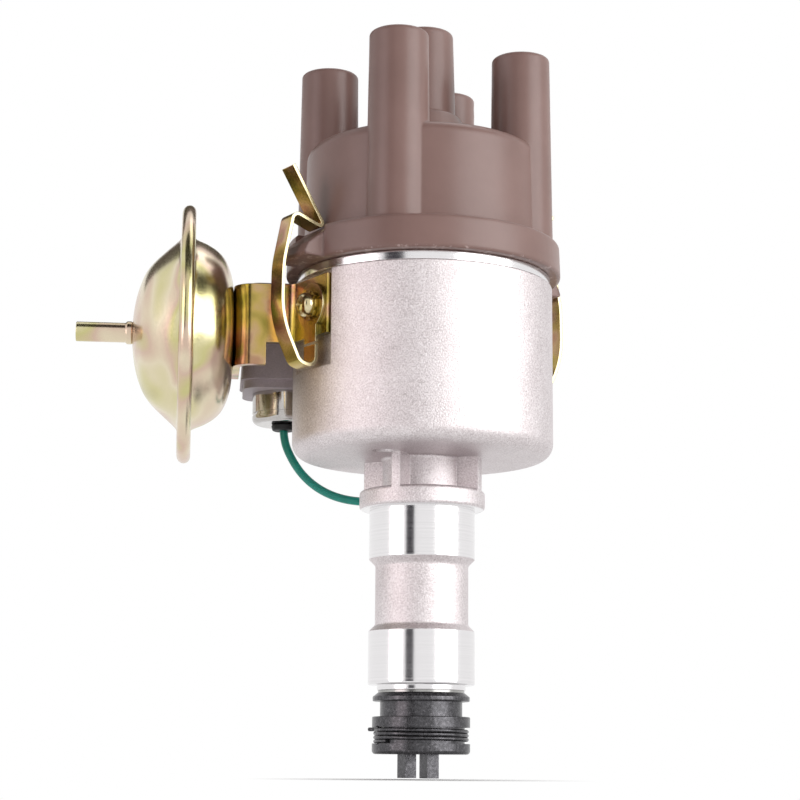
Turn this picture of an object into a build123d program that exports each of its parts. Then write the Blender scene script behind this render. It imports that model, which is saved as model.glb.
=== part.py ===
from build123d import *
import os
from math import cos, pi, radians, sin, tan

os.makedirs("parts", exist_ok=True)

# An ignition distributor for a four-cylinder engine, in millimetres.
# The shaft turns on Z, z = 0 is the underside of the neck collar that seats on the engine,
# the cap is up, and the vacuum unit reaches out along -X.

# Clearances
running_gap = 0.04
slide_gap = 0.15
free_gap = 0.3
touch_gap = 0.05

# Shank, neck and collar
land_radius = 14.0
upper_land_length = 13.1
lower_land_top = -32.1
lower_land_bottom = -46.0
waist_radius = 12.3
nose_radius = 11.6
shank_end = -47.35
collar_radius = 16.7
collar_height = 5.0
collar_round = 1.0
neck_radius = 10.6
rib_count = 4
rib_thickness = 2.5
rib_angle = 238.7

# Bowl
bowl_radius = 34.9
bowl_bottom = 13.7
bowl_corner = 4.0
bowl_floor = 4.3
bowl_rim = 60.2
bowl_wall = 3.9
ledge_height = 41.0
ledge_width = 1.0
register_radius = 34.4
register_top = 62.7
drain_radius = 1.0
drain_flare = 2.9
drain_distance = 18.8
drain_angle = 230.4
pillar_radius = 3.2
pillar_inset = 2.8
pillar_angle = 114.0

# Bearings and shaft
bush_radius = 8.0
shaft_radius = 6.35
upper_bush_low = -6.0
upper_bush_high = 19.4
lower_bush_high = -24.0
washer_thickness = 0.8
spigot_radius = 4.5
spigot_thread = 1.6

# Drive dog under the shank
dog_flare_radius = 12.7
dog_top_radius = 11.5
dog_flare_height = 1.0
dog_flare_band = 1.1
dog_neck_radius = 10.75
dog_neck_length = 3.8
dog_flange_radius = 12.8
dog_upper_flange = 2.7
dog_lower_flange = 2.7
dog_corner = 0.9
wire_radius = 0.52
wire_pitch = 1.02
wire_turns = 4
spring_groove_radius = 11.4
dog_pin_radius = 2.4
shaft_socket_depth = 1.4
lug_width = 3.3
lug_depth = 4.4
lug_length = 6.1
lug_distance = 6.2
lug_offset = 0.9
lug_angle = 111.2

# Centrifugal advance
plate_seat_radius = 5.5
plate_thickness = 1.8
plate_length = 44.0
plate_width = 24.0
weight_thickness = 4.6
weight_inner = 9.0
weight_outer = 20.3
weight_start = -138.0
weight_end = 12.0
weight_pivot = 16.0
weight_post_radius = 2.2
drive_pin_distance = 10.2
drive_pin_radius = 1.1
drive_slot_gap = 0.35
fork_length = 8.0
fork_bridge = 0.8
foot_radius = 13.2
foot_thickness = 1.6
spring_post_radius = 1.1
plate_post_distance = 19.0
plate_post_angle = 206.0
foot_post_distance = 11.5
foot_post_angle = 130.0
post_height = 4.8
spring_coil_radius = 1.7
spring_wire = 0.35
spring_slack = 2.6

# Cam and rotor
sleeve_radius = 7.6
sleeve_cup_radius = 5.9
sleeve_cup_depth = 8.0
cam_clearance = 2.05
cam_length = 10.8
sleeve_rise = 10.6
cam_flat = 10.4
cam_corner = 6.0
cam_lobe_radius = 12.23
rotor_clearance = 1.0
rotor_skirt_radius = 11.5
rotor_skirt_height = 8.6
rotor_neck_radius = 9.0
rotor_height = 16.6
arm_tip = 22.5
arm_width = 9.0
arm_thickness = 4.0
blade_width = 5.0
blade_thickness = 1.6
blade_tip = 25.0
leaf_thickness = 0.6
leaf_radius = 3.6
key_width = 2.2
key_height = 4.5
screw_head_radius = 4.4
screw_head_height = 2.2
felt_thickness = 2.6

# Base plate, breaker plate and contacts
base_thickness = 1.6
boss_outer = 14.3
boss_inner = 12.7
boss_height = 1.7
breaker_radius = 24.6
breaker_thickness = 1.6
plate_pin_x = -12.0
plate_pin_y = 19.0
plate_pin_radius = 1.2
arm_pivot_x = 16.0
arm_pivot_y = -16.0
arm_post_radius = 1.5
arm_eye_radius = 2.9
contact_x = -9.5
contact_radius = 2.2
fixed_foot_y = -19.6
fixed_foot_eye = 2.6
fixed_foot_sheet = 0.9
fixed_screw_x = 2.0
fixed_screw_y = -20.2
fixed_screw_radius = 1.3
upright_width = 6.0
upright_sheet = 1.0
bridge_width = 4.0
contact_gap = 0.4
contact_thickness = 1.0
contact_height = 6.0
contact_arm_y = -15.9
contact_arm_thickness = 1.2
heel_width = 3.0
anchor_x = -15.5
anchor_y = -17.4

# Clips
clip_angle = 208.0
clip_width = 5.5
clip_thickness = 0.9
clip_pad = 0.1
clip_screw_height = 51.1
clip_pivot_reach = 2.65
clip_pivot_height = 37.0
clip_bend = 2.2
clip_stub = 3.5
clip_foot_gap = 0.65
clip_bow = 3.4
clip_bow_low = 9.5
clip_bow_high = 11.15
clip_shoulder = 2.85
clip_nose_drop = 0.65
clip_tail = 15.35
foot_ring_radius = 6.1
screw_radius = 2.0
clip_screw_length = 7.0
lock_washer_radius = 4.0
lock_washer_thickness = 0.8
clip_head_radius = 3.3
clip_head_height = 2.6

# Cap
cap_bottom = 62.8
cap_overhang = 2.3
band_top = 71.7
band_draft = 0.3
dome_base_radius = 32.4
dome_radius = 31.95
dome_top = 98.2
dome_corner = 3.0
roof_thickness = 4.2
cap_wall = 3.2
spigot_depth = 2.4
tower_distance = 27.2
tower_turn = 41.0
tower_radius = 7.85
tower_base_radius = 8.45
tower_top = 123.5
centre_tower_top = 133.1
tower_bore = 4.4
tower_bore_depth = 22.0
tower_round = 1.0
centre_boss_rise = 10.4
centre_boss_radius = 9.8
hub_radius = 6.0
hub_bottom = 82.0
ear_half_width = 7.0
ear_step = 0.45
ear_land = 0.7
ear_drop = 6.1
ear_lean = 1.4
ear_radius = 42.4
electrode_radius = 1.5
electrode_head = 3.2
electrode_below = 2.6
brush_radius = 2.4
brush_length = 10.6
brush_bore_top = 103.0
brush_wire = 0.4

# Vacuum unit
vacuum_y = 5.0
link_rise = 2.65
shell_sheet = 1.0
rim_radius = 34.7
rim_outer_x = -65.3
rim_inner_x = -61.75
dome_mouth = 25.9
outer_depth = 12.7
inner_depth = 10.55
outer_flat = 2.0
inner_flat = 12.0
diaphragm_thickness = 0.8
hem_width = 3.8
hem_sheet = 0.6
hem_fillet = 1.4
nipple_radius = 2.65
nipple_bore = 1.5
nipple_tip = -93.0
nipple_bead = 3.1
link_width = 4.5
link_thickness = 1.2
link_slot_travel = 2.7
link_crank_x = -25.5
link_crank_round = 5.0
hub_plate_radius = 11.0
hub_plate_thickness = 1.2
vacuum_spring_radius = 7.5
vacuum_spring_wire = 0.9
vacuum_spring_length = 8.0

# Bracket of the vacuum unit
bracket_sheet = 2.0
bracket_low = 37.0
bracket_high = 58.8
bracket_front = -8.0
bracket_flange_end = 14.0
bracket_bend = 4.5
pad_end = 6.9
notch_left = -42.6
notch_top = 43.0
recess_low = 34.6
recess_side = 7.4

# Condenser and its holder
condenser_angle = 144.6
can_wall_gap = 0.47
holder_half = 12.3
holder_corner = 5.0
holder_low = 37.5
holder_high = 64.6
holder_draft = 3.0
holder_lip = 2.4
holder_lip_inset = 0.8
can_radius = 8.8
can_low = 26.6
can_high = 58.0
can_rim = 1.6
tongue_width = 8.0
tongue_low = 44.0
boot_radius = 3.5
boot_length = 1.7

# Low-tension terminal and the lead to it
terminal_angle = 84.0
terminal_height = 29.0
terminal_stud = 1.9
terminal_bush = 4.6
terminal_bush_neck = 3.0
terminal_nut = 3.4
ring_radius = 3.8
ring_thickness = 0.8
ring_barrel = 1.7
lead_radius = 1.15
lead_drop = 21.6
lead_straight = 4.0
lead_inset = 3.7
lead_step = 16.0
lead_climb = 5.8
lead_rise = 7.0


def height_rod(radius, low, high, x=0.0, y=0.0):
    cylinder = Cylinder(radius, high - low, align=(Align.CENTER, Align.CENTER, Align.MIN))
    return Pos(x, y, low) * cylinder


def height_tube(outer, inner, low, high, x=0.0, y=0.0):
    return height_rod(outer, low, high, x, y) - height_rod(inner, low, high, x, y)


def turned(points, rounds=None):
    # a closed outline of (radius, height) points, with a corner round for each, turned about Z
    outline = FilletPolyline(*points, radius=rounds or 0, close=True)
    return revolve(Plane.XZ * make_face(outline), Axis.Z)


def side_plane(angle, distance=0.0):
    # local x is outward along the angle, local y is up
    outward = Vector(cos(radians(angle)), sin(radians(angle)), 0)
    across = Vector(sin(radians(angle)), -cos(radians(angle)), 0)
    return Plane(origin=outward * distance, x_dir=outward, z_dir=across)


def face_plane(angle, distance, height=0.0):
    # local z is outward along the angle, local x is level and local y is up
    outward = Vector(cos(radians(angle)), sin(radians(angle)), 0)
    level = Vector(-sin(radians(angle)), cos(radians(angle)), 0)
    return Plane(origin=outward * distance + Vector(0, 0, height), x_dir=level, z_dir=outward)


def radial_block(angle, near, far, half_width, low, high):
    sketch = Pos(0, (low + high) / 2) * Rectangle(2 * half_width, high - low)
    return extrude(face_plane(angle, near) * sketch, far - near)


def radial_rod(angle, radius, near, far, height):
    return extrude(face_plane(angle, near, height) * Circle(radius), far - near)


def strip(path, width, thickness, across):
    # a flat strip swept along a path, with its width along the direction across
    section = Plane(origin=path @ 0, x_dir=across, z_dir=path % 0) * Rectangle(width, thickness)
    return sweep(section, path)


def coil_column(radius, wire, low, high, turns):
    # a closed coil spring as touching rings of wire on one core
    pitch = (high - low - 2 * wire) / (turns - 1)
    body = height_tube(radius, radius - wire, low + wire, high - wire)
    for turn in range(turns):
        body += Pos(0, 0, low + wire + turn * pitch) * Torus(radius, wire)
    return body


def coupled_pair(solid):
    return [solid, Rot(0, 0, 180) * solid]


rib_angles = [rib_angle + quarter * 360 / rib_count for quarter in range(rib_count)]
clip_angles = [clip_angle, clip_angle - 180]
clip_seat = bowl_radius + clip_pad
clip_pivot_radius = clip_seat + clip_pivot_reach
foot_low = clip_pivot_height + clip_stub + clip_foot_gap
pillar_angles = [pillar_angle, pillar_angle + 180]
rotor_angle = clip_angle + tower_turn
tower_angles = [rotor_angle + 90 * quarter for quarter in range(4)]
cap_radius = bowl_radius + cap_overhang
bowl_inner = bowl_radius - bowl_wall
bore_inner = bowl_inner + ledge_width
pillar_distance = bowl_inner - pillar_inset
floor_top = bowl_bottom + bowl_floor


def housing():
    waist_step = land_radius - waist_radius
    body = turned(
        [
            (bush_radius, shank_end),
            (nose_radius, shank_end),
            (nose_radius, lower_land_bottom),
            (land_radius, lower_land_bottom),
            (land_radius, lower_land_top),
            (waist_radius, lower_land_top + waist_step),
            (waist_radius, -upper_land_length - waist_step),
            (land_radius, -upper_land_length),
            (land_radius, 0),
            (collar_radius, 0),
            (collar_radius, collar_height),
            (neck_radius, collar_height),
            (neck_radius, bowl_bottom),
            (bowl_radius, bowl_bottom),
            (bowl_radius, bowl_rim),
            (register_radius, bowl_rim),
            (register_radius, register_top),
            (bore_inner, register_top),
            (bore_inner, ledge_height),
            (bowl_inner, ledge_height),
            (bowl_inner, floor_top),
            (bush_radius, floor_top),
        ],
        [0, 0, 0, 0.5, 0.3, 1.0, 1.0, 0.3, 0, collar_round, collar_round, 0.6, 0.8, bowl_corner]
        + [0.3, 0, 0.2, 0, 0, 0, 2.0, 0],
    )
    for angle in rib_angles:
        rib_low = collar_height - 2
        rib = radial_block(angle, neck_radius - 2, collar_radius, rib_thickness / 2, rib_low, bowl_bottom + 1)
        body += rib & height_rod(collar_radius, rib_low, bowl_bottom + 1)
    for angle in pillar_angles:
        spot = Vector(pillar_distance, 0, 0).rotate(Axis.Z, angle)
        pillar = height_rod(pillar_radius, floor_top - 1, ledge_height, spot.X, spot.Y)
        body += pillar
        body -= height_rod(screw_radius, ledge_height - 8, ledge_height, spot.X, spot.Y)
    for angle in clip_angles:
        body += radial_rod(angle, 5.0, bore_inner - 4, bore_inner + 1, clip_screw_height)
    body += radial_block(clip_angles[1], bore_inner, clip_seat, foot_ring_radius + 0.6, foot_low, bowl_rim)
    recess = Pos(recess_side - 20, 0, 10) * Box(40, bowl_rim - recess_low, 20)
    body -= face_plane(clip_angle, clip_seat - bracket_sheet, (bowl_rim + recess_low) / 2) * recess
    for angle in clip_angles:
        body -= radial_rod(angle, screw_radius, bore_inner - 5, clip_seat + 5, clip_screw_height)
    window = Box(12, link_width + 3, link_thickness + 3)
    body -= Pos(-bowl_radius + 1.5, vacuum_y, vacuum_z) * window
    tongue_half = tongue_width / 2 + slide_gap
    slot_top = register_top + 1
    body -= radial_block(condenser_angle, bore_inner - 2, bowl_radius + 2, tongue_half, tongue_low, slot_top)
    body -= radial_rod(terminal_angle, terminal_bush_neck, bowl_inner - 3, bowl_radius + 2, terminal_height)
    spot = Vector(drain_distance, 0, 0).rotate(Axis.Z, drain_angle)
    body -= height_rod(drain_radius, bowl_bottom - 1, floor_top + 1, spot.X, spot.Y)
    flare = Cone(drain_flare, drain_radius, drain_flare - drain_radius)
    body -= Pos(spot.X, spot.Y, bowl_bottom + (drain_flare - drain_radius) / 2) * flare
    return body


def bush(low, high):
    return height_tube(bush_radius, shaft_radius + running_gap, low, high)


def shaft():
    # the main journal, the spigot that carries the cam sleeve, and the hole of the dog's pin
    body = height_rod(shaft_radius, shaft_foot, plate_low)
    body += height_rod(plate_seat_radius, plate_low, plate_low + plate_thickness)
    body += height_rod(spigot_radius, plate_low, spigot_top)
    body -= height_rod(spigot_thread, spigot_top - 10, spigot_top)
    body -= dog_pin_hole()
    return body


def upper_washer():
    low = upper_bush_high + touch_gap
    return height_tube(bush_radius + 2, shaft_radius + slide_gap, low, low + washer_thickness)


def lower_washer():
    low = dog_top + touch_gap
    return height_tube(nose_radius - 0.3, shaft_radius + slide_gap, low, shank_end - touch_gap)


def dog_pin_hole():
    return pin_place * Cylinder(dog_pin_radius, 2 * dog_flange_radius)


def drive_dog():
    bottom = dog_bottom
    body = turned(
        [
            (shaft_radius, dog_top),
            (dog_top_radius, dog_top),
            (dog_flare_radius, dog_top - dog_flare_height),
            (dog_flare_radius, dog_top - dog_flare_height - dog_flare_band),
            (dog_neck_radius, dog_neck_top),
            (dog_neck_radius, dog_flange_top),
            (dog_flange_radius, dog_flange_top),
            (dog_flange_radius, groove_top),
            (spring_groove_radius, groove_top),
            (spring_groove_radius, groove_bottom),
            (dog_flange_radius, groove_bottom),
            (dog_flange_radius, bottom),
            (0, bottom),
            (0, shaft_foot),
            (shaft_radius, shaft_foot),
        ],
        [0, 0, 0.3, 0.3, 0, 0, 0.3, 0, 0, 0, 0, dog_corner, 0, 0, 0],
    )
    body -= dog_pin_hole()
    lug = Box(lug_depth, lug_width, lug_length + 1)
    for side in (-1, 1):
        place = Pos(side * lug_distance, lug_offset, bottom + (1 - lug_length) / 2)
        body += Rot(0, 0, lug_angle) * place * lug
    return body


def dog_pin():
    return pin_place * Cylinder(dog_pin_radius - running_gap / 4, 2 * (spring_groove_radius - free_gap))


def dog_spring():
    # rings of wire lying in the groove of the dog
    centre_radius = spring_groove_radius + wire_radius + touch_gap
    body = Torus(centre_radius, wire_radius)
    top_ring = groove_top - touch_gap - wire_radius
    rings = [Pos(0, 0, top_ring - turn * wire_pitch) * body for turn in range(wire_turns)]
    return rings[0] + rings[1:]


def action_plate():
    # the carrier of the flyweights, pressed on the shaft, with its weight and spring posts
    outline = SlotOverall(plate_length, plate_width) + Rot(0, 0, plate_post_angle) * SlotOverall(
        2 * plate_post_distance + 6, 7
    )
    body = extrude(Pos(0, 0, plate_low) * outline, plate_thickness)
    body -= height_rod(plate_seat_radius, plate_low, plate_top)
    for turn in (0, 180):
        weight_spot = Vector(weight_pivot, 0, 0).rotate(Axis.Z, turn)
        weight_post = height_rod(weight_post_radius, plate_top - 0.5, weight_top + 0.3)
        body += Pos(weight_spot.X, weight_spot.Y, 0) * weight_post
        spring_spot = Vector(plate_post_distance, 0, 0).rotate(Axis.Z, plate_post_angle + turn)
        body += height_rod(spring_post_radius, plate_top - 0.5, post_top, spring_spot.X, spring_spot.Y)
    return body


def flyweight():
    # a crescent round the shaft, with the eye of its pivot and the pin that drives the cam foot
    sweep_angle = weight_end - weight_start
    ring = make_face(
        FilletPolyline(
            (weight_inner, 0, weight_low),
            (weight_outer, 0, weight_low),
            (weight_outer, 0, weight_top),
            (weight_inner, 0, weight_top),
            radius=0.4,
            close=True,
        )
    )
    body = Rot(0, 0, weight_start) * revolve(ring, Axis.Z, sweep_angle)
    body += height_rod(weight_post_radius + 2.0, weight_low, weight_top, weight_pivot, 0)
    body -= height_rod(weight_post_radius + running_gap, weight_low - 1, weight_top + 1, weight_pivot, 0)
    body += height_rod(drive_pin_radius, weight_top - 1, cam_foot_low + foot_thickness, drive_pin_distance, 0)
    return body


def advance_spring():
    # a coil with a close eye on the plate post and a long slack eye round the cam foot post
    plate_post = Vector(plate_post_distance, 0, 0).rotate(Axis.Z, plate_post_angle)
    foot_post = Vector(foot_post_distance, 0, 0).rotate(Axis.Z, foot_post_angle)
    span = (foot_post - plate_post).length
    direction = (foot_post - plate_post).normalized()
    place = Plane(origin=plate_post + Vector(0, 0, spring_level), x_dir=direction, z_dir=(0, 0, 1))
    eye = spring_post_radius + slide_gap + spring_wire
    coil_start = eye + spring_wire
    slack_half = spring_post_radius + 1.2 + spring_wire
    coil_end = span - slack_half - spring_wire
    close_eye = Torus(eye, spring_wire)
    wire = FilletPolyline(
        (-slack_half, -slack_half),
        (spring_slack + slack_half, -slack_half),
        (spring_slack + slack_half, slack_half),
        (-slack_half, slack_half),
        radius=slack_half - 0.05,
        close=True,
    )
    slack_eye = sweep(Plane(origin=wire @ 0, z_dir=wire % 0) * Circle(spring_wire), wire)
    coil = coil_column(spring_coil_radius, spring_wire, 0, coil_end - coil_start, 8)
    for low in (-0.2, coil_end - coil_start - 0.4):
        coil += height_rod(spring_coil_radius, low, low + 0.6)
    laid_coil = Pos(coil_start, 0, 0) * Rot(0, 90, 0) * coil
    return place * (laid_coil + close_eye + Pos(span, 0, 0) * slack_eye)


def cam_foot():
    # the plate staked on the lower end of the sleeve, with forks for the weights' pins and spring posts
    body = height_tube(foot_radius, sleeve_radius, cam_foot_low, cam_foot_low + foot_thickness)
    for turn in (0, 180):
        spot = Vector(foot_post_distance, 0, 0).rotate(Axis.Z, foot_post_angle + turn)
        body += height_rod(spring_post_radius, cam_foot_low, post_top, spot.X, spot.Y)
        fork = Box(fork_length, 2 * (drive_pin_radius + drive_slot_gap), foot_thickness + 1)
        fork_middle = sleeve_radius + fork_bridge + fork_length / 2
        body -= Rot(0, 0, turn) * Pos(fork_middle, 0, cam_foot_low + foot_thickness / 2) * fork
    return body


def breaker_cam():
    # the four-sided cam, pressed on the sleeve
    body = extrude(Pos(0, 0, cam_low) * RectangleRounded(2 * cam_flat, 2 * cam_flat, cam_corner), cam_length)
    body &= height_rod(cam_lobe_radius, cam_low, cam_high)
    return body - height_rod(sleeve_radius + touch_gap, cam_low - 1, cam_high + 1)


def cam_sleeve():
    # the sleeve on the shaft's spigot, with the cup for the screw and the felt
    body = height_rod(sleeve_radius, cam_foot_low, sleeve_top)
    body -= height_rod(spigot_radius + running_gap, cam_foot_low - 1, sleeve_top)
    body -= height_rod(sleeve_cup_radius, sleeve_cup_floor, sleeve_top + 1)
    body -= key_block(key_width / 2 + slide_gap, sleeve_top - key_height - slide_gap, sleeve_top + 1)
    return body


def key_block(half_width, low, high):
    return radial_block(rotor_angle, sleeve_cup_radius - 1, sleeve_radius + 1.5, half_width, low, high)


def cam_screw():
    low = sleeve_cup_floor + touch_gap
    body = height_rod(screw_head_radius, low, low + screw_head_height)
    body += height_rod(spigot_thread, spigot_top - 8, low + 0.5)
    body -= Pos(0, 0, low + screw_head_height) * Box(2 * screw_head_radius + 1, 1.0, 1.6)
    return body


def oil_felt():
    low = sleeve_cup_floor + screw_head_height + 2 * touch_gap
    return height_rod(sleeve_cup_radius - touch_gap, low, low + felt_thickness)


def rotor():
    body = turned(
        [
            (sleeve_radius + touch_gap, rotor_low),
            (rotor_skirt_radius, rotor_low),
            (rotor_skirt_radius, rotor_skirt_top),
            (rotor_neck_radius, rotor_skirt_top + 2.5),
            (rotor_neck_radius, rotor_top),
            (0, rotor_top),
            (0, sleeve_top + 0.4),
            (sleeve_radius + touch_gap, sleeve_top + 0.4),
        ],
        [0.3, 0.6, 0.8, 1.0, 0.5, 0, 0, 0],
    )
    arm_end = Pos(arm_tip - arm_width / 2, 0) * Circle(arm_width / 2)
    arm_outline = make_hull((Circle(rotor_neck_radius) + arm_end).edges())
    arm = extrude(Pos(0, 0, rotor_top - arm_thickness) * arm_outline, arm_thickness)
    body += Rot(0, 0, rotor_angle) * arm
    tail = Pos(-rotor_neck_radius - 1.5, 0, rotor_top - arm_thickness / 2) * Box(7, 8, arm_thickness)
    body += Rot(0, 0, rotor_angle) * tail
    key_low = sleeve_top - key_height
    key = key_block(key_width / 2, key_low, sleeve_top + 1)
    key -= height_rod(sleeve_cup_radius + slide_gap, key_low - 1, sleeve_top)
    body += key & height_rod(rotor_neck_radius - 0.2, key_low, sleeve_top + 1)
    body -= Rot(0, 0, rotor_angle) * blade_box(blade_width / 2 + touch_gap, blade_tip + 1)
    return body


def blade_box(half_width, tip):
    length = tip + leaf_radius
    block = Box(length, 2 * half_width, blade_thickness)
    return Pos(tip - length / 2, 0, rotor_top - blade_thickness / 2) * block


def rotor_blade():
    # the brass blade let into the arm, with the contact disc under the brush
    body = Rot(0, 0, rotor_angle) * blade_box(blade_width / 2, blade_tip)
    body &= height_rod(blade_tip, rotor_top - blade_thickness, rotor_top)
    body += height_rod(leaf_radius, rotor_top, rotor_top + leaf_thickness)
    return body


def base_plate():
    low = ledge_height + touch_gap
    high = low + base_thickness
    body = height_rod(bore_inner - slide_gap, low, high)
    body += height_rod(boss_outer, low, high + boss_height)
    body -= height_rod(boss_inner, low - 1, high + boss_height + 1)
    for angle in pillar_angles:
        spot = Vector(pillar_distance, 0, 0).rotate(Axis.Z, angle)
        body -= height_rod(screw_radius + slide_gap, low - 1, high + 1, spot.X, spot.Y)
    for angle in (30, 210):
        slot = Rot(0, 0, angle) * Pos(19, 0, 0) * SlotOverall(14, 6, rotation=90)
        body -= extrude(Pos(0, 0, low - 1) * slot, base_thickness + 2)
    return body


def plate_screws():
    low = ledge_height + base_thickness + 2 * touch_gap
    screws = []
    for angle in pillar_angles:
        spot = Vector(pillar_distance, 0, 0).rotate(Axis.Z, angle)
        head = height_rod(3.0, low, low + 1.8, spot.X, spot.Y)
        head -= Pos(spot.X, spot.Y, low + 1.8) * Box(7, 0.9, 1.4)
        screws.append(head + height_rod(screw_radius - touch_gap, low - 8, low, spot.X, spot.Y))
    return screws


def breaker_plate():
    # the plate that turns on the base plate's boss, with the link pin and the contact arm's post
    body = height_rod(breaker_radius, breaker_low, breaker_top)
    body -= height_rod(boss_outer + running_gap, breaker_low - 1, breaker_top + 1)
    body += height_rod(plate_pin_radius, breaker_top - 1, vacuum_z + link_thickness, plate_pin_x, plate_pin_y)
    body += height_rod(arm_post_radius, breaker_top - 1, contact_high + 1.2, arm_pivot_x, arm_pivot_y)
    body -= height_rod(1.0, breaker_low - 1, breaker_top + 1, 0, -18.6)
    return body


def fixed_contact():
    # the foot screwed to the breaker plate and its upright with the fixed point
    heel_end = Pos(contact_x, fixed_foot_y) * Circle(fixed_foot_eye)
    screw_end = Pos(fixed_screw_x, fixed_screw_y) * Circle(fixed_foot_eye)
    foot = make_hull((heel_end + screw_end).edges())
    low = breaker_top + touch_gap
    body = extrude(Pos(0, 0, low) * foot, fixed_foot_sheet)
    upright_back = fixed_face + contact_thickness
    upright_front = upright_back + upright_sheet
    wall = Box(upright_width, upright_sheet, contact_high - breaker_top - 0.5)
    body += Pos(contact_x, upright_back + upright_sheet / 2, (contact_high + breaker_top) / 2) * wall
    bridge = Box(bridge_width, upright_front - fixed_foot_y, fixed_foot_sheet)
    body += Pos(contact_x, (upright_front + fixed_foot_y) / 2, low + fixed_foot_sheet / 2) * bridge
    point = Rot(90, 0, 0) * Cylinder(contact_radius, contact_thickness + 0.2)
    body += Pos(contact_x, fixed_face + (contact_thickness + 0.2) / 2, contact_middle) * point
    body -= height_rod(fixed_screw_radius + 0.1, low - 1, low + 2, fixed_screw_x, fixed_screw_y)
    return body


def contact_screw():
    low = breaker_top + 2 * touch_gap + fixed_foot_sheet
    head = height_rod(fixed_screw_radius + 1.0, low, low + 1.6) - Pos(0, 0, low + 1.6) * Box(5, 0.8, 1.2)
    head += height_rod(fixed_screw_radius, low - fixed_foot_sheet, low + 0.1)
    return Pos(fixed_screw_x, fixed_screw_y, 0) * head


def contact_arm():
    # the sprung arm: an eye on its post, a strip, the fibre heel on the cam and the moving point
    eye_bore = arm_post_radius + running_gap
    eye = height_tube(arm_eye_radius, eye_bore, contact_low, contact_high, arm_pivot_x, arm_pivot_y)
    strip_length = arm_pivot_x - arm_eye_radius + 0.6 - (contact_x - 3)
    bar_middle = arm_pivot_x - arm_eye_radius + 0.6 - strip_length / 2
    bar_y = contact_arm_y - contact_arm_thickness / 2
    bar = Pos(bar_middle, bar_y, contact_middle) * Box(strip_length, contact_arm_thickness, contact_height)
    heel_length = -cam_lobe_radius - 0.15 - contact_arm_y
    heel = Pos(0, contact_arm_y + heel_length / 2, contact_middle) * Box(heel_width, heel_length, 5.0)
    point_length = moving_face - contact_arm_y
    point = Rot(90, 0, 0) * Cylinder(contact_radius, point_length + 0.2)
    body = eye + bar + heel
    body += Pos(contact_x, contact_arm_y + (point_length - 0.2) / 2, contact_middle) * point
    return body


def contact_spring():
    # the leaf that closes the points, from its anchor post to the back of the arm
    post = height_rod(1.5, breaker_top + touch_gap, contact_high, anchor_x, anchor_y)
    back = contact_arm_y - contact_arm_thickness - free_gap
    path = FilletPolyline(
        (anchor_x + 0.6, anchor_y, contact_middle),
        (-6.0, back - 1.4, contact_middle),
        (5.0, back - 0.25, contact_middle),
        radius=20,
    )
    return post + strip(path, 4.0, 0.4, (0, 0, 1))


def vacuum_place():
    # local z runs outward along -X from the axis point of the vacuum unit
    return Plane(origin=(0, vacuum_y, vacuum_z), x_dir=(0, 1, 0), z_dir=(-1, 0, 0))


def vacuum_turned(points, rounds=None):
    # an outline of (radius, distance from the shaft's plane), turned about the vacuum unit's axis
    return vacuum_place() * turned(points, rounds)


def shell_wall(centre, radius, mouth, depth):
    # a wall of even thickness between two quarter ellipses, from the mouth to the middle of the dome
    top = mouth + depth
    reach = radius - centre
    outer = EllipticalCenterArc((centre, mouth), reach, depth, arc_size=90)
    inner = EllipticalCenterArc((centre, mouth), reach - shell_sheet, depth - shell_sheet, arc_size=90)
    edges = [outer, inner, Line(inner @ 0, outer @ 0), Line(outer @ 1, (0, top))]
    edges += [Line((0, top), (0, top - shell_sheet)), Line((0, top - shell_sheet), inner @ 1)]
    return revolve(Plane.XZ * make_face(edges), Axis.Z)


def outer_shell():
    # the domed cover of the vacuum chamber, its rim hemmed over the flange of the back shell
    mouth = -rim_outer_x
    back = -rim_inner_x
    dome = shell_wall(outer_flat, dome_mouth, mouth, outer_depth)
    hem = turned(
        [
            (dome_mouth - shell_sheet, mouth),
            (dome_mouth - 0.3, mouth),
            (dome_mouth - 0.3, mouth + hem_fillet),
            (dome_mouth + hem_fillet, mouth),
            (rim_radius, mouth),
            (rim_radius, back),
            (rim_radius - hem_width, back),
            (rim_radius - hem_width, back + hem_sheet),
            (rim_radius - shell_sheet, back + hem_sheet),
            (rim_radius - shell_sheet, mouth - shell_sheet),
            (dome_mouth - shell_sheet, mouth - shell_sheet),
        ],
        [0, 0, 0, hem_fillet, 1.5, 0.8, 0, 0, 0, 0, 0],
    )
    return vacuum_place() * (dome + hem - height_rod(nipple_radius, mouth, mouth + outer_depth + 1))


def inner_shell():
    # the domed back with a flat face and the hole of the link, its flange clamped in the hem
    mouth = flange_x + shell_sheet
    dome = shell_wall(inner_flat, dome_mouth, mouth, rim_inner_x + inner_depth - mouth)
    flange = height_tube(clamp_radius, dome_mouth - shell_sheet, flange_x, mouth)
    body = Rot(180, 0, 0) * (dome + flange)
    return vacuum_place() * (body - height_rod(link_hole, 0, -rim_inner_x))


def diaphragm():
    # the rubber disc clamped at the rim, rolled round the hub plates
    middle = diaphragm_x
    half = diaphragm_thickness / 2
    body = vacuum_turned(
        [
            (hub_plate_radius + 0.6, middle - half),
            (clamp_radius, middle - half),
            (clamp_radius, middle + half),
            (hub_plate_radius + 0.6, middle + half),
        ]
    )
    roll_radius = (hub_plate_radius + 0.6 + dome_mouth) / 2
    roll = vacuum_place() * Pos(0, 0, middle) * (Torus(roll_radius, 2.4) - Torus(roll_radius, 1.6))
    upper = vacuum_place() * height_rod(rim_radius, middle, middle + 4)
    slot = height_tube(roll_radius + 2.0, roll_radius - 2.0, middle - half - 0.1, middle + half + 0.1)
    return body - vacuum_place() * slot + (roll & upper)


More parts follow.
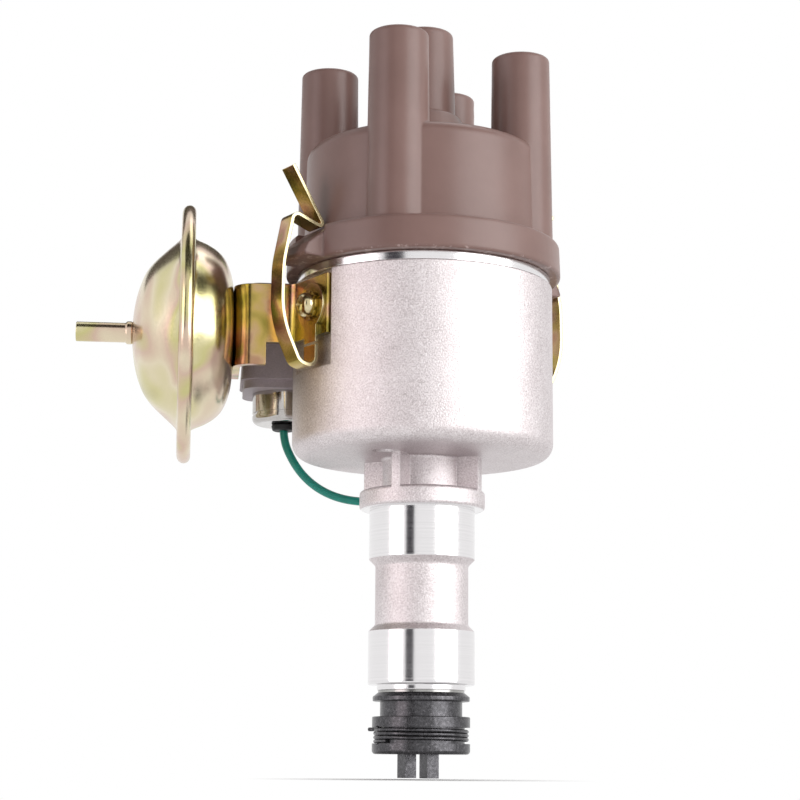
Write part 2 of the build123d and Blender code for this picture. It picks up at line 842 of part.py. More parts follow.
def link_outline():
    # the flat link seen from above: straight through the wall, then cranked over to the plate pin
    path = FilletPolyline(
        (-diaphragm_x + 2.0, vacuum_y),
        (link_crank_x, vacuum_y),
        (plate_pin_x - 3.0, plate_pin_y - 1.0),
        radius=link_crank_round,
    )
    return strip(Pos(0, 0, vacuum_z) * path, link_thickness, link_width, (0, 0, 1))


def vacuum_link():
    # the link with the slotted eye of the plate pin
    body = link_outline()
    eye_length = link_slot_travel + 2 * (plate_pin_radius + 2.2)
    eye_place = Pos(plate_pin_x, plate_pin_y - link_slot_travel / 2, vacuum_z - link_thickness / 2)
    eye = SlotOverall(eye_length, 2 * (plate_pin_radius + 2.0), rotation=90)
    body += extrude(eye_place * eye, link_thickness)
    slot_length = link_slot_travel + 2 * (plate_pin_radius + slide_gap)
    slot = SlotOverall(slot_length, 2 * (plate_pin_radius + slide_gap), rotation=90)
    body -= extrude(eye_place * Pos(0, 0, -1) * slot, link_thickness + 2)
    return body


def hub_plates():
    # the two cups that grip the middle of the diaphragm, riveted to the link
    middle = diaphragm_x
    return vacuum_turned(
        [
            (0, middle - hub_plate_thickness),
            (hub_plate_radius - 1.5, middle - hub_plate_thickness),
            (hub_plate_radius, middle),
            (hub_plate_radius, middle + hub_plate_thickness),
            (3.0, middle + hub_plate_thickness),
            (3.0, middle + hub_plate_thickness + 1.4),
            (0, middle + hub_plate_thickness + 1.4),
        ],
        [0, 0.8, 0.5, 0.3, 0, 0.5, 0],
    )


def vacuum_spring():
    low = diaphragm_x + hub_plate_thickness + touch_gap
    coil = coil_column(vacuum_spring_radius, vacuum_spring_wire, low, low + vacuum_spring_length, 4)
    return vacuum_place() * coil


def nipple():
    # the hose spigot, with the fillet of braze where it meets the cover
    end = -rim_outer_x + outer_depth
    return vacuum_turned(
        [
            (nipple_bore, end - 2.5),
            (nipple_radius, end - 2.5),
            (nipple_radius, end),
            (nipple_bead, end),
            (nipple_bead, end + 1.4),
            (nipple_radius, end + 1.9),
            (nipple_radius, -nipple_tip),
            (nipple_bore, -nipple_tip),
        ],
        [0, 0, 0, 0.4, 0.4, 0.3, 0.3, 0],
    )


def bracket():
    # one bent strip: the flange on the unit, the front plate, and the pad under the clip's foot
    middle = bracket_sheet / 2
    plate_x = rim_inner_x + inner_depth + middle
    outward = Vector(cos(radians(clip_angle)), sin(radians(clip_angle)), 0)
    level = Vector(-sin(radians(clip_angle)), cos(radians(clip_angle)), 0)
    pad_radius = clip_seat - middle
    front_y = bracket_front + middle
    corner_x = (pad_radius - front_y * outward.Y) / outward.X
    end = outward * pad_radius + level * pad_end
    path = FilletPolyline(
        (plate_x, bracket_flange_end),
        (plate_x, front_y),
        (corner_x, front_y),
        (end.X, end.Y),
        radius=[bracket_bend, bracket_bend],
    )
    height = (bracket_low + bracket_high) / 2
    body = strip(Pos(0, 0, height) * path, bracket_high - bracket_low, bracket_sheet, (0, 0, 1))
    notch = Box(40, 60, notch_top - bracket_low + 2)
    body -= Pos(notch_left + 20, -20, (notch_top + bracket_low) / 2 - 1) * notch
    body -= vacuum_place() * height_rod(link_hole, -plate_x - 5, -plate_x + 5)
    body -= radial_rod(clip_angle, screw_radius + slide_gap, clip_seat - 8, clip_seat + 8, clip_screw_height)
    return body


def clip_path(angle):
    # the arch of the spring clip: stub, U-bend, bow, nose over the cap's ear, and thumb tail
    foot = clip_pivot_radius - clip_bend
    bow = ear_radius + clip_bow
    return side_plane(angle) * FilletPolyline(
        (foot, clip_pivot_height + clip_stub),
        (foot, clip_pivot_height - clip_bend - 0.55),
        (clip_pivot_radius + 2.65, clip_pivot_height - 1.6),
        (bow, clip_pivot_height + clip_bow_low),
        (bow - 0.2, ear_top - clip_bow_high),
        (ear_radius + 0.3, ear_top + clip_shoulder),
        (dome_base_radius + 0.5, ear_top - clip_nose_drop),
        (ear_radius + 0.7, ear_top + clip_tail),
        radius=[clip_bend - 0.05, 3.0, 25.0, 28.0, 1.8, 0.8],
    )


def clip(angle):
    across = Vector(-sin(radians(angle)), cos(radians(angle)), 0)
    body = strip(clip_path(angle), clip_width, clip_thickness, across)
    return body


def clip_foot(angle):
    # the clip's foot: a ring under the screw head and a neck down to the U-bend
    neck = Pos(0, (foot_low + clip_screw_height) / 2) * Rectangle(clip_width, clip_screw_height - foot_low)
    ring = Pos(0, clip_screw_height) * Circle(foot_ring_radius)
    outline = neck + ring - Pos(0, clip_screw_height) * Circle(screw_radius + slide_gap)
    near = clip_seat + touch_gap
    foot = extrude(face_plane(angle, near) * outline, clip_thickness - 2 * touch_gap)
    return foot


def clip_screws():
    screws = []
    for angle in clip_angles:
        under = clip_seat + clip_thickness + lock_washer_thickness + touch_gap
        head = radial_rod(angle, clip_head_radius, under, under + clip_head_height, clip_screw_height)
        slot_place = face_plane(angle, under + clip_head_height, clip_screw_height)
        head -= slot_place * Box(2 * clip_head_radius + 1, 1.0, 2.4)
        shank_radius = screw_radius - touch_gap
        shank = radial_rod(angle, shank_radius, under - clip_screw_length, under, clip_screw_height)
        screws.append(head + shank)
    return screws


def clip_washers():
    # toothed lock washers under the heads
    washers = []
    for angle in clip_angles:
        place = face_plane(angle, clip_seat + clip_thickness + touch_gap / 2, clip_screw_height)
        ring = Circle(lock_washer_radius) - Circle(screw_radius + slide_gap)
        for tooth in range(8):
            ring -= Rot(0, 0, 22.5 + 45 * tooth) * Pos(lock_washer_radius, 0) * Rectangle(1.6, 0.9)
        washers.append(extrude(place * ring, lock_washer_thickness - touch_gap))
    return washers


def tower(low_radius, top_radius, low, top, floor):
    return turned(
        [
            (0, low),
            (low_radius, low),
            (top_radius, top),
            (tower_bore, top),
            (tower_bore, floor),
            (0, floor),
        ],
        [0, 0, tower_round, 0, 0, 0],
    )


def cap():
    roof = dome_top - roof_thickness
    inner_radius = dome_radius - cap_wall
    body = turned(
        [
            (0, cap_bottom),
            (cap_radius, cap_bottom),
            (cap_radius - band_draft, band_top),
            (dome_base_radius, band_top),
            (dome_radius, dome_top),
            (centre_boss_radius + 5.2, dome_top + 1.2),
            (centre_boss_radius, centre_boss_top),
            (0, centre_boss_top),
        ],
        [0, 0.7, 1.0, 0.8, dome_corner, 3.0, 1.0, 0],
    )
    for angle in tower_angles:
        spot = Vector(tower_distance, 0, 0).rotate(Axis.Z, angle)
        floor = tower_top - tower_bore_depth
        side_tower = tower(tower_base_radius, tower_radius, band_top - 1, tower_top, floor)
        body += Pos(spot.X, spot.Y, 0) * side_tower
    for angle in clip_angles:
        # the band is cut away over the ramp, so that the nose of the clip can slide off
        notch_low = ear_top - ear_drop
        body -= radial_block(angle, dome_base_radius, cap_radius + 1, ear_half_width, notch_low, band_top + 1)
        body += clip_ear(angle)
    body += height_tube(bore_inner - slide_gap, bore_inner - 2, cap_bottom - spigot_depth, cap_bottom + 0.5)
    inside = turned(
        [
            (0, cap_bottom - spigot_depth - 1),
            (bore_inner - 2, cap_bottom - spigot_depth - 1),
            (dome_base_radius - cap_wall, band_top),
            (inner_radius, roof),
            (hub_radius, roof),
            (hub_radius - 0.4, hub_bottom),
            (0, hub_bottom),
        ],
        [0, 0, 0, 1.5, 0, 0, 0],
    )
    body -= inside
    centre_floor = centre_tower_top - tower_bore_depth
    body += tower(8.7, tower_radius + 0.1, centre_boss_top - 1, centre_tower_top, centre_floor)
    body -= height_rod(tower_bore, centre_floor, centre_tower_top - 2)
    body -= centre_terminal()
    body -= height_rod(brush_radius + slide_gap, hub_bottom - 1, brush_bore_top)
    for angle in tower_angles:
        body -= side_electrode(angle)
    return body


def clip_ear(angle):
    # the ramped ledge that the nose of a clip presses on
    outline = FilletPolyline(
        (dome_base_radius - 1.5, cap_bottom),
        (ear_radius, cap_bottom),
        (ear_radius - ear_lean, ear_top - ear_drop),
        (dome_base_radius + ear_land, ear_top),
        (dome_base_radius - 1.5, ear_top),
        radius=[0, 0.8, 1.2, 0.3, 0],
        close=True,
    )
    return extrude(side_plane(angle) * make_face(outline), ear_half_width, both=True)


def side_electrode(angle):
    # a brass post moulded in the cap wall, with its head in the foot of the tower's socket
    spot = Vector(tower_distance, 0, 0).rotate(Axis.Z, angle)
    floor = tower_top - tower_bore_depth
    body = height_rod(electrode_radius, electrode_low, floor, spot.X, spot.Y)
    return body + height_rod(electrode_head, floor - 1.5, floor, spot.X, spot.Y)


def centre_terminal():
    floor = centre_tower_top - tower_bore_depth
    return height_rod(electrode_head, brush_bore_top, floor)


def brush():
    return height_rod(brush_radius, brush_low, brush_low + brush_length)


def brush_spring():
    low = brush_low + brush_length + touch_gap
    return coil_column(brush_radius - brush_wire - slide_gap, brush_wire, low, brush_bore_top - touch_gap, 8)


def condenser_holder():
    # a moulded block round the can, with a lip below and the tongue that drops into the rim
    side = 2 * holder_half
    outline = Pos(0, 0, holder_low) * RectangleRounded(side, side, holder_corner)
    block = extrude(outline, holder_high - holder_low, taper=holder_draft)
    lip_side = side - 2 * holder_lip_inset
    lip = Pos(0, 0, holder_low - holder_lip) * RectangleRounded(lip_side, lip_side, holder_corner)
    body = Pos(condenser_x, condenser_y, 0) * (block + extrude(lip, holder_lip))
    body -= height_rod(bowl_radius + free_gap / 2, holder_low - 5, holder_high + 1)
    body -= height_rod(cap_radius + free_gap, cap_bottom - free_gap, holder_high + 1)
    tongue_top = cap_bottom - free_gap
    tongue_base = tongue_low + slide_gap
    body += radial_block(condenser_angle, bore_inner, can_clear, tongue_width / 2, tongue_base, tongue_top)
    body -= height_rod(can_radius + touch_gap, holder_low - 5, can_high + touch_gap, condenser_x, condenser_y)
    return body


def condenser_can():
    # a drawn can with a rolled lower end
    body = turned(
        [(0, can_low), (can_radius, can_low), (can_radius, can_high), (0, can_high)],
        [0, can_rim, 1.5, 0],
    )
    body -= height_tube(can_radius + 1, can_radius - 0.35, can_low + 2.2, can_low + 3.0)
    return Pos(condenser_x, condenser_y, 0) * body


def condenser_boot():
    # the rubber grommet where the lead leaves the can
    body = turned(
        [
            (lead_radius + touch_gap, can_low - touch_gap),
            (boot_radius, can_low - touch_gap),
            (boot_radius - 0.4, can_low - boot_length),
            (lead_radius + touch_gap, can_low - boot_length),
        ],
        [0, 0.4, 0.5, 0],
    )
    return Pos(condenser_x, condenser_y, 0) * body


def lead_route():
    # straight down from the can, a quarter turn under the bowl, a quarter turn behind the neck, and up
    end = terminal_out(ring_out)
    top = can_low - touch_gap
    low = top - lead_drop
    middle_x = condenser_x + lead_drop
    route = [Vector(condenser_x, condenser_y, top), Vector(condenser_x, condenser_y, top - lead_straight)]
    for step in range(5):
        angle = radians(90 + lead_step * (step - 4))
        down = top - lead_drop * sin(angle)
        inset = lead_inset * sin(angle) ** 2
        route.append(Vector(middle_x - lead_drop * cos(angle), condenser_y - inset, down))
    near = route[-1]
    for step in range(1, 5):
        angle = radians(step * 18.5)
        across = near.X + (end.X - near.X) * sin(angle)
        back = near.Y + (end.Y + 1.5 - near.Y) * (1 - cos(angle))
        route.append(Vector(across, back, low + lead_climb * (step / 4) ** 2))
    route.append(Vector(end.X, end.Y, lead_end - lead_rise))
    route.append(Vector(end.X, end.Y, lead_end))
    return route


def lead():
    # the insulated lead between the can and the terminal's ring
    points = lead_route()
    radii = []
    for before, corner, after in zip(points, points[1:], points[2:]):
        turn = radians((corner - before).get_angle(after - corner))
        shorter = min((corner - before).length, (after - corner).length)
        radii.append(0.45 * shorter / tan(turn / 2))
    path = FilletPolyline(*points, radius=radii)
    section = Plane(origin=path @ 0, z_dir=path % 0) * Circle(lead_radius)
    body = sweep(section, path)
    print("lead radii", [round(radius, 1) for radius in radii], "length", round(path.length, 1))
    print("lead volume over section times length", body.volume / (pi * lead_radius**2 * path.length))
    return body


def terminal_out(distance):
    return Vector(cos(radians(terminal_angle)), sin(radians(terminal_angle)), 0) * distance


def terminal_insulator():
    # two flanged bushes as one moulding through the wall
    neck = terminal_bush_neck - touch_gap
    body = radial_rod(terminal_angle, neck, bowl_inner - 1.5, bowl_radius + 0.2, terminal_height)
    body += radial_rod(terminal_angle, terminal_bush, bowl_radius + 0.1, bowl_radius + 2.0, terminal_height)
    body -= radial_rod(terminal_angle, terminal_stud, bowl_inner - 4, bowl_radius + 6, terminal_height)
    return body


def terminal_screw():
    # a stud with a hexagon head inside the bowl
    body = radial_rod(terminal_angle, terminal_stud, bowl_inner - 2, ring_out + 5.0, terminal_height)
    head_place = face_plane(terminal_angle, bowl_inner - 3.6, terminal_height)
    return body + extrude(head_place * RegularPolygon(terminal_nut, 6), 2.0)


def terminal_nuts():
    inner_place = face_plane(terminal_angle, bowl_radius + 2.05, terminal_height)
    outer_place = face_plane(terminal_angle, ring_out + ring_thickness / 2 + touch_gap, terminal_height)
    return [extrude(inner_place * nut_face(), 1.6), extrude(outer_place * nut_face(), 2.4)]


def nut_face():
    return RegularPolygon(terminal_nut, 6) - Circle(terminal_stud)


def lead_ring():
    # the ring terminal crimped on the lead
    place = face_plane(terminal_angle, ring_out - ring_thickness / 2, terminal_height)
    body = extrude(place * (Circle(ring_radius) - Circle(terminal_stud + touch_gap)), ring_thickness)
    end = terminal_out(ring_out)
    top = terminal_height - ring_radius + 0.3
    barrel = height_rod(ring_barrel, top - 5.0, top, end.X, end.Y)
    barrel -= height_rod(lead_radius + touch_gap, top - 6, lead_end + touch_gap, end.X, end.Y)
    return body + barrel


# Heights and places that follow from the sizes above
condenser_distance = bowl_radius + can_wall_gap + can_radius
condenser_x = condenser_distance * cos(radians(condenser_angle))
condenser_y = condenser_distance * sin(radians(condenser_angle))
dog_top = shank_end - 0.7
dog_neck_top = dog_top - dog_flare_height - dog_flare_band - 0.2
dog_flange_top = dog_neck_top - dog_neck_length
groove_top = dog_flange_top - dog_upper_flange
groove_bottom = groove_top - wire_pitch * (wire_turns - 1) - 2 * wire_radius - 2 * touch_gap
dog_bottom = groove_bottom - dog_lower_flange
shaft_foot = dog_bottom + shaft_socket_depth
pin_place = Pos(0, 0, (groove_top + groove_bottom) / 2) * Rot(0, 0, lug_angle + 90) * Rot(0, 90, 0)
plate_low = upper_bush_high + washer_thickness + 2 * touch_gap
plate_top = plate_low + plate_thickness
weight_low = plate_top + slide_gap
weight_top = weight_low + weight_thickness
cam_foot_low = weight_top + 0.5
post_top = cam_foot_low + foot_thickness + post_height
spring_level = cam_foot_low + foot_thickness + post_height / 2
breaker_low = ledge_height + base_thickness + free_gap
breaker_top = breaker_low + breaker_thickness
vacuum_z = breaker_top + link_rise
cam_low = breaker_top + cam_clearance
cam_high = cam_low + cam_length
sleeve_top = cam_high + sleeve_rise
sleeve_cup_floor = sleeve_top - sleeve_cup_depth
spigot_top = sleeve_cup_floor - 0.2
rotor_low = cam_high + rotor_clearance
rotor_skirt_top = rotor_low + rotor_skirt_height
rotor_top = rotor_low + rotor_height
electrode_low = rotor_top - electrode_below
contact_middle = (cam_low + cam_high) / 2
contact_low = contact_middle - contact_height / 2
contact_high = contact_middle + contact_height / 2
moving_face = contact_arm_y + contact_thickness
fixed_face = moving_face + contact_gap
brush_low = rotor_top + leaf_thickness + touch_gap
centre_boss_top = dome_top + centre_boss_rise
ear_top = band_top + ear_step
link_hole = link_width / 2 + 0.8
clamp_radius = rim_radius - shell_sheet - touch_gap
diaphragm_x = -rim_outer_x - shell_sheet - touch_gap - diaphragm_thickness / 2
flange_x = -diaphragm_x + diaphragm_thickness / 2 + touch_gap
ring_out = bowl_radius + 4.2
can_clear = bowl_radius + 1.0
lead_end = terminal_height - ring_radius - 1.2

nodes = {
    "housing": housing(),
    "upper_bush": bush(upper_bush_low, upper_bush_high),
    "lower_bush": bush(shank_end, lower_bush_high),
    "upper_thrust_washer": upper_washer(),
    "base_plate": base_plate(),
    "base_plate_screws": plate_screws(),
    "vacuum_outer_shell": outer_shell(),
    "vacuum_inner_shell": inner_shell(),
    "vacuum_diaphragm": diaphragm(),
    "vacuum_nipple": nipple(),
    "vacuum_bracket": bracket(),
    "condenser_holder": condenser_holder(),
    "condenser_can": condenser_can(),
    "condenser_boot": condenser_boot(),
    "condenser_lead": lead(),
    "lead_ring_terminal": lead_ring(),
    "terminal_insulator": terminal_insulator(),
    "terminal_screw": terminal_screw(),
    "terminal_nuts": terminal_nuts(),
    "clip_foot_front": clip_foot(clip_angles[0]),
    "clip_foot_rear": clip_foot(clip_angles[1]),
    "clip_screws": clip_screws(),
    "clip_lock_washers": clip_washers(),
    "clip_front": clip(clip_angles[0]),
    "clip_rear": clip(clip_angles[1]),
    "cap": cap(),
    "side_electrodes": [side_electrode(angle) for angle in tower_angles],
    "centre_terminal": centre_terminal(),
    "carbon_brush": brush(),
    "brush_spring": brush_spring(),
    "drive_shaft": shaft(),
    "lower_thrust_washer": lower_washer(),
    "drive_dog": drive_dog(),
    "dog_pin": dog_pin(),
    "dog_retaining_spring": dog_spring(),
    "action_plate": action_plate(),
    "flyweight_a": flyweight(),
    "flyweight_b": Rot(0, 0, 180) * flyweight(),
    "advance_springs": coupled_pair(advance_spring()),
    "cam_foot_plate": cam_foot(),
    "cam_sleeve": cam_sleeve(),
    "breaker_cam": breaker_cam(),
    "cam_screw": cam_screw(),
    "oil_felt": oil_felt(),
    "rotor_arm": rotor(),
    "rotor_blade": rotor_blade(),
    "breaker_plate": breaker_plate(),
    "fixed_contact": fixed_contact(),
    "contact_screw": contact_screw(),
    "contact_arm": contact_arm(),
    "contact_spring": contact_spring(),
    "vacuum_link": vacuum_link(),
    "vacuum_hub_plates": hub_plates(),
    "vacuum_spring": vacuum_spring(),
}

for name, shape in nodes.items():
    if isinstance(shape, list):
        shape = Compound(children=shape)
    export_step(shape, f"parts/{name}.step")
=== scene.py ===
import math

import bmesh
import bpy
from mathutils import Matrix, Vector


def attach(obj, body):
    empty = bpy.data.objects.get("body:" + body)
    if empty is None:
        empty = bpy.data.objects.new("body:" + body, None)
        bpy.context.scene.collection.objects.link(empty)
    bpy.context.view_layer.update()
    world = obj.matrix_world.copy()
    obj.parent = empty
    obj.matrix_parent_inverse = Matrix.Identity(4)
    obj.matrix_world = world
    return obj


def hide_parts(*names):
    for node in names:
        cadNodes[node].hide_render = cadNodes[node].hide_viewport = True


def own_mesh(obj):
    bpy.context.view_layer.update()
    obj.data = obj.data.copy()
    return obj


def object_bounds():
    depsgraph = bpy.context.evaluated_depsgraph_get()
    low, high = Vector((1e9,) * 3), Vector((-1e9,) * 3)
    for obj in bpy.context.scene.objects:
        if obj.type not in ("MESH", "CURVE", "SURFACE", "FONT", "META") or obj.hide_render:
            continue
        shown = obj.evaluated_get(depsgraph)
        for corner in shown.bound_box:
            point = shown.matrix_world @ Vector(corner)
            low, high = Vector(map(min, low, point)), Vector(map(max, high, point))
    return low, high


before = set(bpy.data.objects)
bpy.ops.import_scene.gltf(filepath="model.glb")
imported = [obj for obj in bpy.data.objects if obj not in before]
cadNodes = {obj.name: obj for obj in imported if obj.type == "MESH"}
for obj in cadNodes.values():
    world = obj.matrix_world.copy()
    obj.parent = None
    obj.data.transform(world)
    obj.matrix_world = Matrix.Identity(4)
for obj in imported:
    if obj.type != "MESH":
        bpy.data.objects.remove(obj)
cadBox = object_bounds()
mm = 0.001
print("frame loaded:", len(cadNodes), "nodes")


# small helpers

def hexColour(code):
    channels = [int(code[i:i + 2], 16) / 255 for i in (1, 3, 5)]
    return [c / 12.92 if c <= 0.04045 else ((c + 0.055) / 1.055) ** 2.4 for c in channels] + [1.0]


def addNode(tree, kind, inputs=None, **settings):
    node = tree.nodes.new(kind)
    for name, value in settings.items():
        setattr(node, name, value)
    for name, value in (inputs or {}).items():
        if isinstance(value, bpy.types.NodeSocket):
            tree.links.new(value, node.inputs[name])
        else:
            node.inputs[name].default_value = value
    return node


def newMaterial(name, metallic, roughness):
    material = bpy.data.materials.new(name)
    material.use_nodes = True
    tree = material.node_tree
    shader = tree.nodes["Principled BSDF"]
    shader.inputs["Metallic"].default_value = metallic
    shader.inputs["Roughness"].default_value = roughness
    place = addNode(tree, "ShaderNodeTexCoord").outputs["Object"]
    return material, tree, shader, place


def cloud(tree, place, sizeMm, detail=3.0, rough=0.5):
    # soft noise whose blobs are about sizeMm across
    inputs = {"Vector": place, "Scale": 1000 / sizeMm, "Detail": detail, "Roughness": rough}
    return addNode(tree, "ShaderNodeTexNoise", inputs).outputs["Fac"]


def ramp(tree, value, stops):
    node = addNode(tree, "ShaderNodeValToRGB", {"Fac": value})
    elements = node.color_ramp.elements
    while len(elements) < len(stops):
        elements.new(0.5)
    for element, (place, code) in zip(elements, stops):
        element.position = place
        element.color = hexColour(code)
    return node.outputs["Color"]


def spread(tree, value, low, high, start=0.3, end=0.7):
    # a 0..1 pattern turned into a range of numbers
    limits = {"Value": value, "From Min": start, "From Max": end, "To Min": low, "To Max": high}
    return addNode(tree, "ShaderNodeMapRange", limits).outputs["Result"]


def maths(tree, operation, first, second=0.0):
    return addNode(tree, "ShaderNodeMath", {0: first, 1: second}, operation=operation).outputs[0]


def mixed1(tree, share, first, second):
    # two numbers mixed; mixed3 does the same for two colours
    return addNode(tree, "ShaderNodeMix", {0: share, 2: first, 3: second}, data_type="FLOAT").outputs[0]


def mixed3(tree, share, first, second, way="MIX"):
    node = addNode(tree, "ShaderNodeMix", {0: share, 6: first, 7: second}, data_type="RGBA", blend_type=way)
    return node.outputs[2]


def bumped(tree, shader, height, depthMm, edgeMm=0.0):
    # grain as a bump, and edges rounded by edgeMm where the moulding or casting is soft
    bump = addNode(tree, "ShaderNodeBump", {"Height": height, "Distance": depthMm * mm})
    if edgeMm:
        soft = addNode(tree, "ShaderNodeBevel", {"Radius": edgeMm * mm}, samples=8)
        tree.links.new(soft.outputs["Normal"], bump.inputs["Normal"])
    tree.links.new(bump.outputs["Normal"], shader.inputs["Normal"])


def facingShare(tree, direction, fromShare, toShare):
    # 1 where the surface faces along the direction, either way, and 0 where it lies along it
    normal = addNode(tree, "ShaderNodeTexCoord").outputs["Normal"]
    product = addNode(tree, "ShaderNodeVectorMath", {0: normal, 1: direction}, operation="DOT_PRODUCT")
    return spread(tree, maths(tree, "ABSOLUTE", product.outputs["Value"]), 0.0, 1.0, fromShare, toShare)


def heightAndReach(tree, place):
    # height along Z and distance from the Z axis
    axes = addNode(tree, "ShaderNodeSeparateXYZ", {"Vector": place}).outputs
    squares = maths(tree, "ADD", maths(tree, "POWER", axes["X"], 2.0), maths(tree, "POWER", axes["Y"], 2.0))
    return axes["Z"], maths(tree, "SQRT", squares)


def insideZone(tree, value, low, high):
    above = maths(tree, "GREATER_THAN", value, low * mm)
    return maths(tree, "MULTIPLY", above, maths(tree, "LESS_THAN", value, high * mm))


def dress(names, material):
    for name in names:
        slots = cadNodes[name].data.materials
        slots.clear()
        slots.append(material)


# cast aluminium, tumbled: fine even grain and a soft grey-mauve sheen; where it was turned it is bright
housingLook = {
    "castTones": [(0.32, "#b3a9aa"), (0.50, "#d8d0d1"), (0.66, "#f2edee")],
    "turnedTones": [(0.30, "#e2e0e1"), (0.70, "#eae8e9")],
    "patchMm": 9.0,
    "grainMm": 0.40,
    "grainShare": 0.88,
    "grainDepthMm": 0.13,
    "edgeMm": 0.35,
    "toolMarkMm": 0.5,
    "toolMarkShare": 0.012,
    "castRoughness": (0.37, 0.54),
    "turnedRoughness": (0.12, 0.20),
    # low, high, inner and outer distance from the axis of what the lathe has touched, in mm
    "turnedZones": [(-13.1, 0.2, 13.7, 20.0), (-50.0, -32.1, 11.0, 20.0), (60.22, 70.0, 0.0, 40.0)],
}


def castHousing():
    look = housingLook
    material, tree, shader, place = newMaterial("castAluminium", 1.0, look["castRoughness"][0])
    height, reach = heightAndReach(tree, place)
    turned = 0.0
    for low, high, inner, outer in look["turnedZones"]:
        band = insideZone(tree, height, low, high)
        zone = maths(tree, "MULTIPLY", band, insideZone(tree, reach, inner, outer))
        turned = maths(tree, "MAXIMUM", turned, zone)
    grain = cloud(tree, place, look["grainMm"], 5.0, 0.65)
    patches = cloud(tree, place, look["patchMm"], 3.0)
    toolPlace = addNode(tree, "ShaderNodeCombineXYZ", {"X": reach, "Z": height}).outputs[0]
    toolMarks = cloud(tree, toolPlace, look["toolMarkMm"], 2.0)
    castTone = ramp(tree, mixed1(tree, look["grainShare"], patches, grain), look["castTones"])
    turnedTone = ramp(tree, toolMarks, look["turnedTones"])
    tree.links.new(mixed3(tree, turned, castTone, turnedTone), shader.inputs["Base Color"])
    castRough = spread(tree, grain, *look["castRoughness"])
    turnedRough = spread(tree, toolMarks, *look["turnedRoughness"])
    tree.links.new(mixed1(tree, turned, castRough, turnedRough), shader.inputs["Roughness"])
    relief = mixed1(tree, turned, grain, maths(tree, "MULTIPLY", toolMarks, look["toolMarkShare"]))
    bumped(tree, shader, relief, look["grainDepthMm"], look["edgeMm"])
    return material


dress(["housing"], castHousing())
print("housing dressed")


# phenolic moulding, satin from the die, slightly cloudy brown with a mauve cast and a pale flash line
mouldingLook = {
    "tones": [(0.3, "#83665f"), (0.7, "#8e7069")],
    "flashTone": "#c9b2ab",
    "flashZone": (62.6, 63.35),
    "chipMm": 2.2,
    "chipShare": 0.8,
    "chipLimits": (0.55, 0.62),
    "patchMm": 16,
    "grainMm": 0.9,
    "roughness": (0.33, 0.40),
    "depthMm": 0.012,
    "edgeMm": 1.1,
}


def phenolicMoulding():
    look = mouldingLook
    material, tree, shader, place = newMaterial("phenolicMoulding", 0.0, look["roughness"][0])
    height = heightAndReach(tree, place)[0]
    patches = cloud(tree, place, look["patchMm"], 4.0, 0.55)
    grain = cloud(tree, place, look["grainMm"], 3.0, 0.6)
    tone = ramp(tree, patches, look["tones"])
    flakes = cloud(tree, place, look["chipMm"], 6.0, 0.75)
    chips = spread(tree, flakes, 0.0, look["chipShare"], *look["chipLimits"])
    edge = maths(tree, "MULTIPLY", insideZone(tree, height, *look["flashZone"]), chips)
    tree.links.new(mixed3(tree, edge, tone, hexColour(look["flashTone"])), shader.inputs["Base Color"])
    tree.links.new(spread(tree, grain, *look["roughness"]), shader.inputs["Roughness"])
    bumped(tree, shader, grain, look["depthMm"], look["edgeMm"])
    return material


moulding = phenolicMoulding()
dress(["cap", "rotor_arm", "terminal_insulator"], moulding)


# yellow passivate over zinc: olive, amber and rose patches under a thin clear film, and cut edges painted
# paler, partly as bare cut metal and partly as a painted edge highlight
passivateLook = {
    "goldTones": [(0.22, "#6a6630"), (0.36, "#97893f"), (0.46, "#bba25c"), (0.54, "#c2a27a"),
                  (0.62, "#a87a66"), (0.72, "#7f8038"), (0.82, "#bbaa62")],
    "paleTones": [(0.20, "#a79d68"), (0.34, "#d3cb9a"), (0.44, "#e2d6ba"), (0.52, "#d3b9a6"),
                  (0.60, "#cbc48c"), (0.70, "#e4dabb"), (0.82, "#bfa794")],
    "goldRoughness": (0.17, 0.24),
    "paleRoughness": (0.17, 0.27),
    "warpShare": 1.7,
    "speckleTone": "#cfcfcf",
    "speckleShare": 0.1,
    "grainMm": 0.5,
    "depthMm": 0.0015,
    "edgeMm": 0.2,
    # colour of the cut edges: paler bare metal and a painted edge highlight
    "edgeShearAndHighlightTone": "#c6bb94",
    "clipAngle": 208.0,
    "stripEdge": (0.90, 0.97),
    "footEdge": (0.35, 0.20),
}


